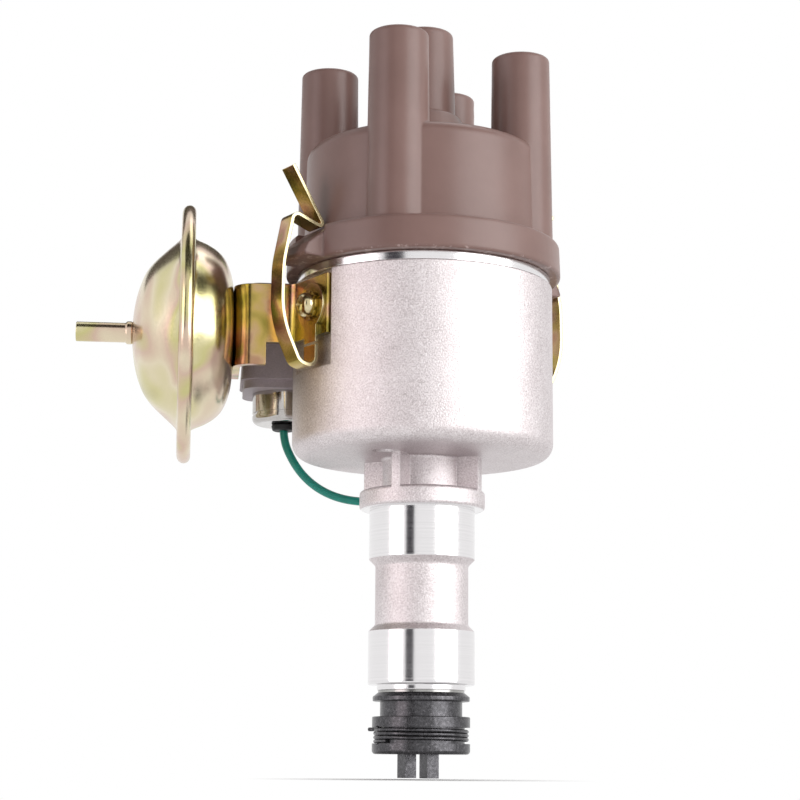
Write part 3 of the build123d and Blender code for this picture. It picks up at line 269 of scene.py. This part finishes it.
def passivatedSteel(name, tones, patchMm, roughness, edges=None):
    look = passivateLook
    material, tree, shader, place = newMaterial(name, 1.0, roughness[0])
    warpInputs = {"Vector": place, "Scale": 1000 / patchMm / look["warpShare"], "Detail": 1.0}
    warp = addNode(tree, "ShaderNodeTexNoise", warpInputs).outputs["Color"]
    shift = addNode(tree, "ShaderNodeVectorMath", {0: warp, 1: (patchMm * mm,) * 3}, operation="MULTIPLY")
    moved = addNode(tree, "ShaderNodeVectorMath", {0: place, 1: shift.outputs[0]}, operation="ADD")
    patches = cloud(tree, moved.outputs[0], patchMm, 2.0, 0.5)
    grain = cloud(tree, place, look["grainMm"], 3.0, 0.6)
    tone = ramp(tree, patches, tones)
    if edges:
        # cut edges painted paler than the rolled faces: partly the bare metal, partly a painted highlight along
        # the edge
        turn = math.radians(look["clipAngle"])
        along = (-math.sin(turn), math.cos(turn), 0)
        outward = (math.cos(turn), math.sin(turn), 0)
        direction, limits = (along, look["stripEdge"]) if edges == "strip" else (outward, look["footEdge"])
        shearedAndHighlitEdge = facingShare(tree, direction, *limits)
        tone = mixed3(tree, shearedAndHighlitEdge, tone, hexColour(look["edgeShearAndHighlightTone"]))
    specks = ramp(tree, grain, [(0.35, look["speckleTone"]), (0.65, "#ffffff")])
    tree.links.new(mixed3(tree, look["speckleShare"], tone, specks, "MULTIPLY"), shader.inputs["Base Color"])
    tree.links.new(spread(tree, grain, *roughness), shader.inputs["Roughness"])
    bumped(tree, shader, grain, look["depthMm"], look["edgeMm"])
    return material


def goldSteel(name, patchMm, edges=None):
    return passivatedSteel(name, passivateLook["goldTones"], patchMm, passivateLook["goldRoughness"], edges)


def paleSteel(name, patchMm):
    return passivatedSteel(name, passivateLook["paleTones"], patchMm, passivateLook["paleRoughness"])


passivates = {
    "goldPassivate": (goldSteel("goldPassivate", 10), ["vacuum_bracket", "clip_lock_washers"]),
    "goldPassivateStrip": (goldSteel("goldPassivateStrip", 12, "strip"), ["clip_front", "clip_rear"]),
    "goldPassivateFoot": (goldSteel("goldPassivateFoot", 8, "foot"), ["clip_foot_front", "clip_foot_rear"]),
    "palePassivate": (paleSteel("palePassivate", 23), [
        "vacuum_outer_shell", "vacuum_inner_shell", "vacuum_nipple", "base_plate", "base_plate_screws",
        "breaker_plate", "vacuum_link", "vacuum_hub_plates", "action_plate", "cam_foot_plate"]),
}
for material, names in passivates.values():
    dress(names, material)
print("passivated steel dressed")


# every other finish from what the metal or moulding is; sizes in mm, colours as sRGB hex
plainSpeckle = {"tone": "#b8b8b8", "share": 0.25}


def finish(name, look):
    material, tree, shader, place = newMaterial(name, look["metallic"], look["roughness"][0])
    patches = cloud(tree, place, look["patchMm"], 4.0, 0.55)
    grain = cloud(tree, place, look["grainMm"], 3.0, 0.6)
    tone = ramp(tree, patches, look["tones"])
    speckle = look.get("speckle", plainSpeckle)
    specks = ramp(tree, grain, [(0.35, speckle["tone"]), (0.65, "#ffffff")])
    tree.links.new(mixed3(tree, speckle["share"], tone, specks, "MULTIPLY"), shader.inputs["Base Color"])
    tree.links.new(spread(tree, grain, *look["roughness"]), shader.inputs["Roughness"])
    if "coat" in look:
        shader.inputs["Coat Weight"].default_value = look["coat"]["weight"]
        shader.inputs["Coat Roughness"].default_value = look["coat"]["roughness"]
    bumped(tree, shader, grain, look["depthMm"])
    return material


finishes = {
    # drawn and tinned can
    "tinPlate": {
        "nodes": ["condenser_can"],
        "metallic": 1.0, "roughness": (0.10, 0.16), "tones": [(0.3, "#b9b5b2"), (0.7, "#cfcbc8")],
        "patchMm": 6, "grainMm": 0.4, "depthMm": 0.003},
    # glass-filled moulding, mauve-grey
    "greyMoulding": {
        "nodes": ["condenser_holder"],
        "metallic": 0.0, "roughness": (0.42, 0.55), "tones": [(0.3, "#beb2ba"), (0.7, "#cdc1c8")],
        "patchMm": 7, "grainMm": 0.5, "depthMm": 0.02},
    # moulded rubber, dull and nearly black
    "blackRubber": {
        "nodes": ["condenser_boot", "vacuum_diaphragm"],
        "metallic": 0.0, "roughness": (0.5, 0.65), "tones": [(0.3, "#161617"), (0.7, "#212122")],
        "patchMm": 3, "grainMm": 0.4, "depthMm": 0.01},
    # extruded vinyl insulation with a soft gloss
    "tealVinyl": {
        "nodes": ["condenser_lead"],
        "metallic": 0.0, "roughness": (0.28, 0.38), "tones": [(0.3, "#079886"), (0.7, "#0fae9b")],
        "patchMm": 5, "grainMm": 0.4, "depthMm": 0.005, "coat": {"weight": 0.2, "roughness": 0.25}},
    # manganese phosphate over machined steel: dark grey, grainy and oiled, rubbed paler in specks
    "phosphatedSteel": {
        "nodes": ["drive_dog", "dog_retaining_spring"],
        "metallic": 0.9, "roughness": (0.18, 0.38),
        "tones": [(0.35, "#535254"), (0.55, "#605f62"), (0.72, "#7c7a7d")],
        "patchMm": 0.9, "grainMm": 0.3, "depthMm": 0.012, "speckle": {"tone": "#868588", "share": 0.6}},
    # ground and oiled
    "groundSteel": {
        "nodes": ["drive_shaft", "dog_pin", "upper_thrust_washer", "lower_thrust_washer", "cam_sleeve",
                  "breaker_cam"],
        "metallic": 1.0, "roughness": (0.18, 0.28), "tones": [(0.3, "#a09f9d"), (0.7, "#b5b4b1")],
        "patchMm": 5, "grainMm": 0.3, "depthMm": 0.003},
    # drawn wire and strip, a little darker from tempering
    "springSteel": {
        "nodes": ["advance_springs", "brush_spring", "contact_spring", "vacuum_spring"],
        "metallic": 1.0, "roughness": (0.22, 0.32), "tones": [(0.3, "#7f7e7c"), (0.7, "#999896")],
        "patchMm": 3, "grainMm": 0.3, "depthMm": 0.003},
    # bright zinc plate, bluish
    "brightZinc": {
        "nodes": ["fixed_contact", "contact_screw", "contact_arm", "cam_screw"],
        "metallic": 1.0, "roughness": (0.18, 0.3), "tones": [(0.3, "#a9abad"), (0.7, "#c0c1c2")],
        "patchMm": 4, "grainMm": 0.4, "depthMm": 0.004},
    # zinc plate with a thin yellow passivate
    "brassyZinc": {
        "nodes": ["clip_screws"],
        "metallic": 1.0, "roughness": (0.16, 0.26), "tones": [(0.3, "#cbb98c"), (0.7, "#e0d3ae")],
        "patchMm": 3, "grainMm": 0.4, "depthMm": 0.004},
    # turned and stamped brass
    "yellowBrass": {
        "nodes": ["side_electrodes", "centre_terminal", "rotor_blade", "lead_ring_terminal", "terminal_screw",
                  "terminal_nuts"],
        "metallic": 1.0, "roughness": (0.2, 0.32), "tones": [(0.3, "#b2914a"), (0.7, "#c8ab66")],
        "patchMm": 4, "grainMm": 0.4, "depthMm": 0.004},
    # pressed and sintered, open-grained and oily
    "sinteredBronze": {
        "nodes": ["upper_bush", "lower_bush"],
        "metallic": 1.0, "roughness": (0.35, 0.5), "tones": [(0.3, "#8d6a3c"), (0.7, "#a5804c")],
        "patchMm": 3, "grainMm": 0.35, "depthMm": 0.01},
    # pressed and sintered iron, matt grey
    "sinteredIron": {
        "nodes": ["flyweight_a", "flyweight_b"],
        "metallic": 1.0, "roughness": (0.4, 0.55), "tones": [(0.3, "#5c5b5a"), (0.7, "#706f6d")],
        "patchMm": 4, "grainMm": 0.35, "depthMm": 0.012},
    # pressed carbon, soft grey-black
    "mouldedCarbon": {
        "nodes": ["carbon_brush"],
        "metallic": 0.1, "roughness": (0.45, 0.6), "tones": [(0.3, "#232324"), (0.7, "#303031")],
        "patchMm": 2, "grainMm": 0.3, "depthMm": 0.008},
    # felted wool, matt and fibrous
    "woolFelt": {
        "nodes": ["oil_felt"],
        "metallic": 0.0, "roughness": (0.85, 0.95), "tones": [(0.3, "#8b8070"), (0.7, "#a2978a")],
        "patchMm": 2, "grainMm": 0.25, "depthMm": 0.12},
}
materials = {"phenolicMoulding": moulding, **{name: pair[0] for name, pair in passivates.items()}}
for name, look in finishes.items():
    materials[name] = finish(name, look)
    dress(look["nodes"], materials[name])
print("finishes:", len(finishes))


# pieces made here

def newPiece(name, data, materialName, body, solid):
    piece = bpy.data.objects.new(name, data)
    bpy.context.scene.collection.objects.link(piece)
    data.materials.clear()
    data.materials.append(materials[materialName])
    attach(piece, body)
    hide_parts(solid)
    return piece


def meshFrom(name, bm, sharpAngle):
    # the finished mesh, smooth but for edges sharper than the angle in degrees
    bmesh.ops.recalc_face_normals(bm, faces=bm.faces)
    mesh = bpy.data.meshes.new(name)
    bm.to_mesh(mesh)
    bm.free()
    mesh.set_sharp_from_angle(angle=math.radians(sharpAngle))
    return mesh


def tubeAlong(name, points, radius, sides=14):
    # a round wire through the points, its rings carried along without twist
    mesh = bpy.data.meshes.new(name)
    bm = bmesh.new()
    ways = [(after - before).normalized() for before, after in zip(points, points[1:])]
    ways.append(ways[-1])
    side = ways[0].orthogonal().normalized()
    rings = []
    for number, point in enumerate(points):
        way = (ways[max(number - 1, 0)] + ways[number]).normalized()
        side = (side - way * side.dot(way)).normalized()
        other = way.cross(side)
        turns = [2 * math.pi * k / sides for k in range(sides)]
        corners = [point + (side * math.cos(t) + other * math.sin(t)) * radius for t in turns]
        rings.append([bm.verts.new(corner) for corner in corners])
    for ring, after in zip(rings, rings[1:]):
        for k in range(sides):
            bm.faces.new((ring[k], ring[(k + 1) % sides], after[(k + 1) % sides], after[k]))
    bm.faces.new(rings[0][::-1])
    bm.faces.new(rings[-1])
    for face in bm.faces:
        face.smooth = len(face.verts) == 4
    bm.to_mesh(mesh)
    bm.free()
    return mesh


def coilPoint(radius, angle, height):
    return Vector((radius * math.cos(angle), radius * math.sin(angle), height)) * mm


# the insulated lead: a soft smooth line through the route of the solid tube, in mm
leadWire = {
    "route": [(-36.0, 25.6, 26.55), (-36.0, 25.6, 22.55), (-33.8, 24.9, 17.1), (-30.5, 23.9, 12.1),
              (-25.9, 22.9, 8.2), (-20.4, 22.2, 5.8), (-14.4, 21.9, 4.95), (-8.5, 22.8, 5.3), (-3.3, 25.6, 6.4),
              (0.8, 29.9, 8.2), (3.4, 35.3, 10.8), (4.1, 38.9, 17.0), (4.1, 38.9, 24.0)],
    "diameter": 2.3,
    "length": 72.4,
}


def buildLead():
    look = leadWire
    curve = bpy.data.curves.new("leadWire", "CURVE")
    curve.dimensions = "3D"
    spline = curve.splines.new("NURBS")
    spline.points.add(len(look["route"]) - 1)
    for point, place in zip(spline.points, look["route"]):
        point.co = [c * mm for c in place] + [1.0]
    spline.order_u = 3
    spline.use_endpoint_u = True
    spline.resolution_u = 8
    curve.bevel_depth = look["diameter"] * mm / 2
    curve.bevel_resolution = 6
    curve.use_fill_caps = True
    piece = newPiece("leadWire", curve, "tealVinyl", "housing", "condenser_lead")


buildLead()
print("lead laid")


# the coil of wire that keeps the dog's pin in, with its free end standing out
pinSpring = {
    "radius": 11.97,
    "wire": 0.50,
    "top": -57.42,
    "turns": 3.0,
    "pitch": 1.02,
    "startAngle": 176.0,
    "endOut": 1.5,
    "endLean": 0.9,
    "stepsPerTurn": 72,
    "lastSteps": 8,
}


def buildPinSpring():
    look = pinSpring
    points = []
    steps = int(look["turns"] * look["stepsPerTurn"]) + look["lastSteps"]
    for k in range(steps + 1):
        turn = k / look["stepsPerTurn"]
        angle = math.radians(look["startAngle"]) + 2 * math.pi * turn
        height = look["top"] - look["pitch"] * min(turn, look["turns"])
        points.append(coilPoint(look["radius"], angle, height))
    first = points[0]
    outward = Vector((first.x, first.y, 0)).normalized()
    back = (points[0] - points[1]).normalized()
    way = (outward + back * look["endLean"]) * look["endOut"] * mm
    points[:0] = [first + way * share for share in (1.0, 0.66, 0.33)]
    wire = tubeAlong("pinSpring", points, look["wire"] * mm)
    newPiece("pinSpring", wire, "phosphatedSteel", "shaft", "dog_retaining_spring")


buildPinSpring()
print("pin spring wound")


# the carbon brush's spring: a close coil at each end, pressed up into the centre tower; mm
brushSpring = {
    "radius": 1.85,
    "wire": 0.2,
    "low": 86.5,
    "high": 102.75,
    "turns": 11,
    "closed": 1.0,
    "travel": 1.5,
    "stepsPerTurn": 32,
}


def buildBrushSpring():
    look = brushSpring
    openLength = look["high"] - look["low"] - 4 * look["closed"] * look["wire"]
    pitch = openLength / (look["turns"] - 2 * look["closed"])
    points = []
    height = look["low"]
    for k in range(look["turns"] * look["stepsPerTurn"] + 1):
        turn = k / look["stepsPerTurn"]
        angle = 2 * math.pi * turn
        points.append(coilPoint(look["radius"], angle, height))
        inEnd = turn < look["closed"] or turn >= look["turns"] - look["closed"]
        height += (2 * look["wire"] if inEnd else pitch) / look["stepsPerTurn"]
    wire = tubeAlong("brushCoil", points, look["wire"] * mm, 10)
    spring = newPiece("brushCoil", wire, "springSteel", "cap", "brush_spring")
    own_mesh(spring)


buildBrushSpring()
print("brush spring wound")


# the clips' screws: pan heads with a crossed recess; mm outward from the housing's axis, then the radius
screwLook = {
    "height": 51.1,
    "angles": (208.0, 28.0),
    "shank": [(29.75, 1.4), (30.2, 1.9), (36.7, 1.9)],
    "head": [(36.73, 3.25), (37.3, 3.3), (38.1, 3.1), (38.75, 2.6), (39.1, 2.0)],
    "recessTop": 39.25,
    "recessFloor": 38.1,
    "recessTaper": 0.6,
    "recessHub": 0.5,
    "recessArm": 1.05,
    "steps": 48,
    "sharpAngle": 35,
}


def crossRadius(turn):
    # the outline of the crossed recess: four arms out of a small hub
    return screwLook["recessHub"] + screwLook["recessArm"] * abs(math.cos(2 * turn)) ** 3


def screwRings(bm, angle):
    look = screwLook
    out = Vector((math.cos(angle), math.sin(angle), 0))
    side = Vector((-math.sin(angle), math.cos(angle), 0))
    turns = [2 * math.pi * k / look["steps"] for k in range(look["steps"])]
    sections = [(place, [radius] * look["steps"]) for place, radius in look["shank"] + look["head"]]
    sections.append((look["recessTop"], [crossRadius(t) for t in turns]))
    sections.append((look["recessFloor"], [look["recessTaper"] * crossRadius(t) for t in turns]))
    rings = []
    for place, radii in sections:
        points = [out * place + side * r * math.cos(t) + Vector((0, 0, look["height"] + r * math.sin(t)))
                  for t, r in zip(turns, radii)]
        rings.append([bm.verts.new(point * mm) for point in points])
    return rings


def buildScrews():
    look = screwLook
    bm = bmesh.new()
    for angle in look["angles"]:
        rings = screwRings(bm, math.radians(angle))
        for near, far in zip(rings, rings[1:]):
            for k in range(look["steps"]):
                j = (k + 1) % look["steps"]
                bm.faces.new((near[k], near[j], far[j], far[k])).smooth = True
        bm.faces.new(rings[0][::-1])
        bm.faces.new(rings[-1])
    mesh = meshFrom("clipScrewHeads", bm, look["sharpAngle"])
    newPiece("clipScrewHeads", mesh, "brassyZinc", "housing", "clip_screws")


buildScrews()
print("clip screws made")


# the two covers of the vacuum unit, pressed from sheet: a coned and shouldered dome each, the outer one
# rolled and hemmed over the inner; mm along X, and out from the unit's axis
coverLook = {
    "centre": (5.0, 47.15),
    "sheetMm": 0.75,
    "steps": 112,
    "sharpAngle": 50,
}
coverForms = {
    "vacuumOuterCover": {
        "dome": [(-78.0, 1.6), (-77.95, 3.4), (-77.6, 6.6), (-77.0, 9.9), (-76.0, 13.2), (-74.6, 16.4),
                 (-72.5, 19.2), (-69.7, 21.9), (-66.9, 24.4), (-65.7, 25.7), (-65.32, 27.0)],
        "roll": [(-65.3, 30.4), (-65.42, 31.6), (-65.38, 32.9), (-65.0, 33.9), (-64.3, 34.5), (-63.5, 34.7),
                 (-62.7, 34.5), (-62.05, 33.9), (-61.75, 33.0), (-61.75, 30.9)],
        "hem": [(-62.35, 30.9), (-62.35, 33.1), (-62.8, 33.6), (-63.9, 33.6), (-64.3, 33.2), (-64.3, 27.2)],
        "inward": 1.0,
        "replaces": "vacuum_outer_shell",
    },
    "vacuumInnerCover": {
        "dome": [(-51.2, 3.1), (-51.2, 9.0), (-51.25, 12.1), (-51.6, 14.8), (-52.4, 17.7), (-53.8, 20.6),
                 (-55.8, 22.7), (-58.6, 24.4), (-61.2, 25.5), (-62.1, 26.3), (-62.38, 27.4)],
        "roll": [],
        "hem": [(-62.4, 33.2), (-63.4, 33.2), (-63.4, 27.4)],
        "inward": -1.0,
        "replaces": "vacuum_inner_shell",
    },
}


def between(p, q, r, s, t):
    # one coordinate of a smooth curve from q to r, where p and s are the points beside them
    return 0.5 * (2 * q + (r - p) * t + (2 * p - 5 * q + 4 * r - s) * t ** 2 + (3 * q - p - 3 * r + s) * t ** 3)


def smoothLine(points, parts):
    # a curve through every point, in so many parts from one to the next
    padded = points[:1] + points + points[-1:]
    line = []
    for near in zip(padded, padded[1:], padded[2:], padded[3:]):
        line += [tuple(between(*side, k / parts) for side in zip(*near)) for k in range(parts)]
    return line + points[-1:]


def buildCover(name, form):
    look = coverLook
    outer = smoothLine(form["dome"], 5)
    edge = smoothLine(form["roll"], 3) + form["hem"]
    inner = [(x + form["inward"], max(r - look["sheetMm"], outer[0][1])) for x, r in reversed(outer)]
    loop = outer + edge + inner[1:]
    middle = Vector((0, *look["centre"]))
    bm = bmesh.new()
    rings = []
    for k in range(look["steps"]):
        turn = 2 * math.pi * k / look["steps"]
        points = [middle + Vector((x, r * math.cos(turn), r * math.sin(turn))) for x, r in loop]
        rings.append([bm.verts.new(point * mm) for point in points])
    for ring, after in zip(rings, rings[1:] + rings[:1]):
        for k in range(len(loop)):
            j = (k + 1) % len(loop)
            bm.faces.new((ring[k], ring[j], after[j], after[k])).smooth = True
    mesh = meshFrom(name, bm, look["sharpAngle"])
    newPiece(name, mesh, "palePassivate", "housing", form["replaces"])


for name, form in coverForms.items():
    buildCover(name, form)
print("vacuum covers spun")


# floor, backdrop light and lamps
studio = {
    "floorSize": 6.0,
    "floorBelow": 0.0004,
    "floorTone": "#f2f2f2",
    "shadowReach": (12.0, 46.0),
    "worldLevel": 0.27,
    "lamps": [
        # place, aimed at, size, watts, colour
        ((0.80, -0.68, 0.16), (0, 0, 0.03), (0.95, 1.10), 11.0, "#ffffff"),
        ((-0.92, -0.45, 0.10), (0, 0, 0.03), (0.55, 0.80), 2.8, "#ffeef1"),
        ((0.30, 0.10, 0.95), (0, 0, 0.05), (0.70, 0.50), 1.2, "#ffffff"),
    ],
    "flags": [
        # place, aimed at, size, tone: boards beside the camera, above it and behind the object,
        # seen only in the metal
        ((-0.62, -0.98, 0.02), (0, 0, 0.02), (0.36, 1.30), "#37353a"),
        ((0.0, -0.45, 1.15), (0, 0, 0.05), (2.20, 0.95), "#3a372f"),
        ((-0.15, 0.85, 0.75), (0, 0, 0.05), (1.30, 0.55), "#57524a"),
    ],
}


def facing(place, aim):
    return (Vector(aim) - Vector(place)).to_track_quat("-Z", "Y").to_euler()


def buildFloor():
    low = cadBox[0].z - studio["floorBelow"]
    bpy.ops.mesh.primitive_plane_add(size=studio["floorSize"], location=(0, 0, low))
    floor = bpy.context.object
    floor.name = "studioFloor"
    material, tree, shader, place = newMaterial("paleFloor", 0.0, 0.9)
    shader.inputs["Base Color"].default_value = hexColour(studio["floorTone"])
    near, far = (limit * mm for limit in studio["shadowReach"])
    away = spread(tree, heightAndReach(tree, place)[1], 0.0, 1.0, near, far)
    rays = addNode(tree, "ShaderNodeLightPath").outputs
    ray = maths(tree, "MAXIMUM", rays["Is Camera Ray"], rays["Is Glossy Ray"])
    white = addNode(tree, "ShaderNodeEmission", {"Color": hexColour("#ffffff"), "Strength": 1.0}).outputs[0]
    share = maths(tree, "MULTIPLY", away, ray)
    mix = addNode(tree, "ShaderNodeMixShader", {0: share, 1: shader.outputs[0], 2: white})
    tree.links.new(mix.outputs[0], tree.nodes["Material Output"].inputs["Surface"])
    floor.data.materials.append(material)


def buildFlags():
    for number, (place, aim, size, tone) in enumerate(studio["flags"]):
        material = newMaterial(f"board{number}", 0.0, 1.0)[0]
        tree = material.node_tree
        board = addNode(tree, "ShaderNodeEmission", {"Color": hexColour(tone), "Strength": 1.0})
        tree.links.new(board.outputs[0], tree.nodes["Material Output"].inputs["Surface"])
        bpy.ops.mesh.primitive_plane_add(size=1, location=place, rotation=facing(place, aim))
        flag = bpy.context.object
        flag.name = f"board{number}"
        flag.scale = (size[0], size[1], 1)
        flag.data.materials.append(material)
        flag.visible_camera = False
        flag.visible_shadow = False
        flag.visible_diffuse = False


def buildLight():
    world = bpy.context.scene.world or bpy.data.worlds.new("studioWorld")
    bpy.context.scene.world = world
    world.use_nodes = True
    tree = world.node_tree
    tree.nodes.clear()
    rays = addNode(tree, "ShaderNodeLightPath").outputs
    bounced = maths(tree, "MAXIMUM", rays["Is Glossy Ray"], rays["Is Transmission Ray"])
    shown = maths(tree, "MAXIMUM", rays["Is Camera Ray"], bounced)
    colour = hexColour("#ffffff")
    plain = addNode(tree, "ShaderNodeBackground", {"Color": colour, "Strength": studio["worldLevel"]})
    white = addNode(tree, "ShaderNodeBackground", {"Color": colour, "Strength": 1.0})
    mix = addNode(tree, "ShaderNodeMixShader", {0: shown, 1: plain.outputs[0], 2: white.outputs[0]})
    addNode(tree, "ShaderNodeOutputWorld", {"Surface": mix.outputs[0]})
    for number, (place, aim, size, watts, tone) in enumerate(studio["lamps"]):
        light = bpy.data.lights.new(f"softbox{number}", "AREA")
        light.shape = "RECTANGLE"
        light.size, light.size_y = size
        light.energy = watts
        light.color = hexColour(tone)[:3]
        lamp = bpy.data.objects.new(f"softbox{number}", light)
        lamp.location = place
        lamp.rotation_euler = facing(place, aim)
        bpy.context.scene.collection.objects.link(lamp)
    bpy.context.scene.view_settings.view_transform = "Standard"


# the camera stands low and looks up at the object, as the photograph does
cameraSpec = {
    "place": (-61.64, -516.18, -66.55),
    "yaw": 6.1396,
    "pitch": 10.5195,
    "roll": 0.4011,
    "lens": 88.50,
}


def buildCamera():
    yaw, pitch, roll = (math.radians(cameraSpec[k]) for k in ("yaw", "pitch", "roll"))
    forward = Vector((math.sin(yaw) * math.cos(pitch), math.cos(yaw) * math.cos(pitch), math.sin(pitch)))
    right = Vector((math.cos(yaw), -math.sin(yaw), 0))
    up = right.cross(forward)
    tilted = right * math.cos(roll) + up * math.sin(roll)
    top = up * math.cos(roll) - right * math.sin(roll)
    data = bpy.data.cameras.new("photoCamera")
    data.lens = cameraSpec["lens"]
    data.sensor_width = 36
    data.clip_start, data.clip_end = 0.01, 20
    camera = bpy.data.objects.new("photoCamera", data)
    turn = Matrix((tilted, top, -forward)).transposed().to_4x4()
    camera.matrix_world = Matrix.Translation(Vector(cameraSpec["place"]) * mm) @ turn
    bpy.context.scene.collection.objects.link(camera)
    bpy.context.scene.camera = camera


buildFloor()
buildFlags()
buildLight()
buildCamera()
print("studio and camera placed")
